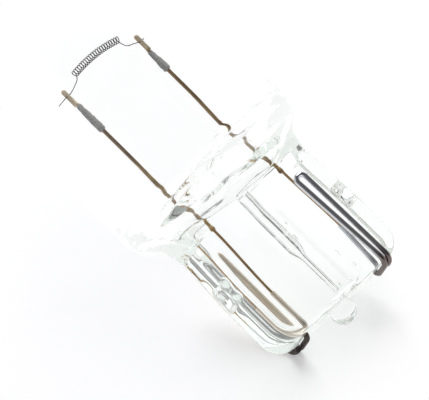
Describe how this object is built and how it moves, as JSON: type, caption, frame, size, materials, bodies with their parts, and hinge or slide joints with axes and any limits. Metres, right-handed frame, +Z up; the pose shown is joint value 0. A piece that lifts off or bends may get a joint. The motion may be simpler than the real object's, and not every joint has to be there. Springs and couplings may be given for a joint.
{
  "type": "automotive reversing bulb",
  "caption": "Clear glass reversing lamp with a pressed wedge base, folded contact wires and an arched coiled filament held by wire supports",
  "frame": {"origin": "centre of the bounding box, on the floor that the lamp lies on", "axes": "+Z up; the lamp lies on the back face's contact wire, the base end and the envelope's shoulder, with its dome towards -X and rising 23 degrees from base to dome, its front face up and its width along Y"},
  "size_m": [0.0416, 0.0202, 0.0252],
  "materials": {
    "glass": "clear pressed and blown glass",
    "contact": "bright drawn wire, darkened by heat",
    "seal": "copper-clad wire, oxidised brown",
    "support": "drawn wire, heat-tinted golden brown",
    "getter": "rough dried coat",
    "filament": "drawn tungsten wire"
  },
  "bodies": {
    "root": {"glass_bulb": "glass", "contact_wire_front": "contact", "contact_wire_back": "contact", "seal_wire_left": "seal", "seal_wire_right": "seal", "support_wire_left": "support", "support_wire_right": "support", "getter_coat_left": "getter", "getter_coat_right": "getter", "filament": "filament"}
  },
  "joints": []
}
